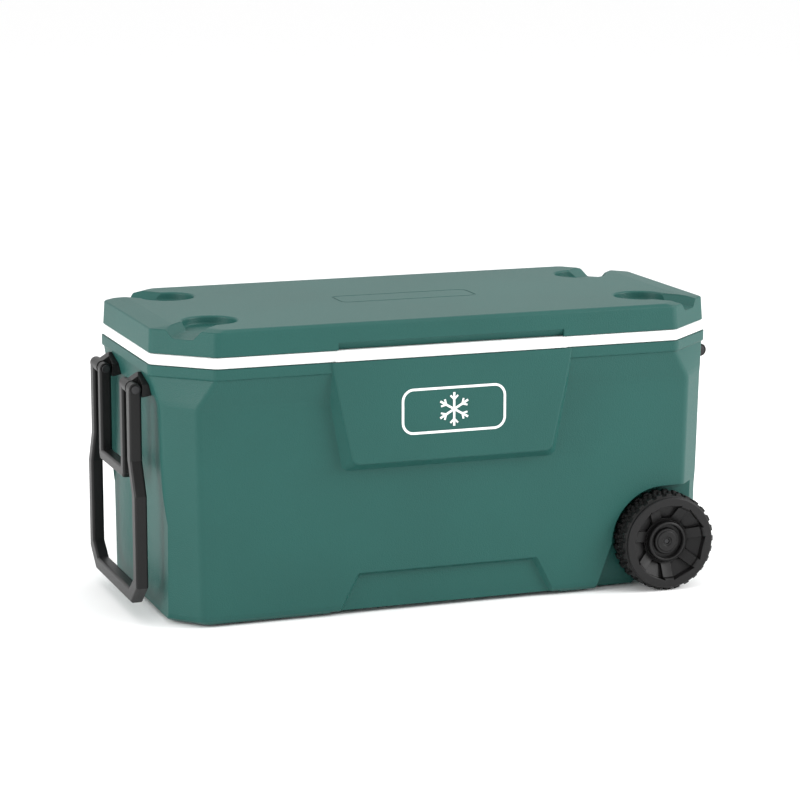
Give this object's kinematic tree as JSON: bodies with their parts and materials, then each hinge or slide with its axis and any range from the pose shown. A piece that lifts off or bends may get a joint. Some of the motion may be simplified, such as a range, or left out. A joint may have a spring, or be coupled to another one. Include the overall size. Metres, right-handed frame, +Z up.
{
  "type": "wheeled cooler",
  "caption": "Insulated chest cooler on wheels, with a hinged lid with cup holders, a tow handle, carry handles and a drain.",
  "frame": {"origin": "on the ground at the middle of the footprint", "axes": "+X along the length towards the wheels, -Y the front, +Z up"},
  "size_m": [1.0012, 0.49, 0.474],
  "materials": {
    "green_plastic": "fine moulded grain, satin",
    "white_plastic": "satin",
    "insulation": "closed-cell foam",
    "black_handle": "satin",
    "black_wheel": "fine grain",
    "black_tread": "matte",
    "steel": "zinc plated",
    "grey_plastic": "satin",
    "rubber": "matte"
  },
  "bodies": {
    "tub": {"outer_shell": "green_plastic", "inner_liner": "white_plastic", "drain_tube": "white_plastic", "panel_badge": "white_plastic", "tub_foam": "insulation", "bracket_tow_front": "black_handle", "bracket_tow_back": "black_handle", "bracket_wheel_front": "black_handle", "bracket_wheel_back": "black_handle", "axle": "steel", "axle_washers": "steel", "axle_end_screws": "steel", "bracket_screws": "steel", "hinge_base_screws": "steel", "handle_pin_tow_front": "steel", "handle_pin_tow_back": "steel", "handle_pin_wheel_front": "steel", "handle_pin_wheel_back": "steel", "hinge_pin_left": "steel", "hinge_pin_middle": "steel", "hinge_pin_right": "steel", "axle_sleeve": "grey_plastic", "hinge_base_left": "grey_plastic", "hinge_base_middle": "grey_plastic", "hinge_base_right": "grey_plastic", "drain_gasket": "rubber"},
    "lid": {"lid_shell": "green_plastic", "lid_foam": "insulation", "lid_liner": "white_plastic", "hinge_leaf_screws": "steel", "hinge_leaf_left": "grey_plastic", "hinge_leaf_middle": "grey_plastic", "hinge_leaf_right": "grey_plastic"},
    "tow_handle": {"tow_handle": "black_handle"},
    "carry_handle_tow_end": {"carry_handle_tow_end": "black_handle"},
    "carry_handle_wheel_end": {"carry_handle_wheel_end": "black_handle"},
    "wheel_front": {"wheel_rim_front": "black_wheel", "tyre_front": "black_tread", "hub_cap_front": "black_handle"},
    "wheel_back": {"wheel_rim_back": "black_wheel", "tyre_back": "black_tread", "hub_cap_back": "black_handle"},
    "drain_cap": {"drain_stopper": "white_plastic"}
  },
  "joints": [
    {"name": "lid_hinge", "type": "hinge", "parent": "tub", "child": "lid", "pos_m": [0, 0.238, 0.432], "axis": [-1, 0, 0], "range_deg": [0, 100]},
    {"name": "tow_handle_pivot", "type": "hinge", "parent": "tub", "child": "tow_handle", "pos_m": [-0.49, 0, 0.3715], "axis": [0, 1, 0], "range_deg": [0, 110]},
    {"name": "carry_pivot_tow_end", "type": "hinge", "parent": "tub", "child": "carry_handle_tow_end", "pos_m": [-0.49, 0, 0.3715], "axis": [0, 1, 0], "range_deg": [0, 110]},
    {"name": "carry_pivot_wheel_end", "type": "hinge", "parent": "tub", "child": "carry_handle_wheel_end", "pos_m": [0.49, 0, 0.3715], "axis": [0, -1, 0], "range_deg": [0, 110]},
    {"name": "wheel_spin_front", "type": "hinge", "parent": "tub", "child": "wheel_front", "pos_m": [0.375, -0.218, 0.081], "axis": [0, 1, 0], "continuous": true},
    {"name": "wheel_spin_back", "type": "hinge", "parent": "tub", "child": "wheel_back", "pos_m": [0.375, 0.218, 0.081], "axis": [0, 1, 0], "continuous": true},
    {"name": "drain_cap_pull", "type": "slide", "parent": "tub", "child": "drain_cap", "axis": [1, 0, 0], "range_m": [0, 0.025]}
  ]
}
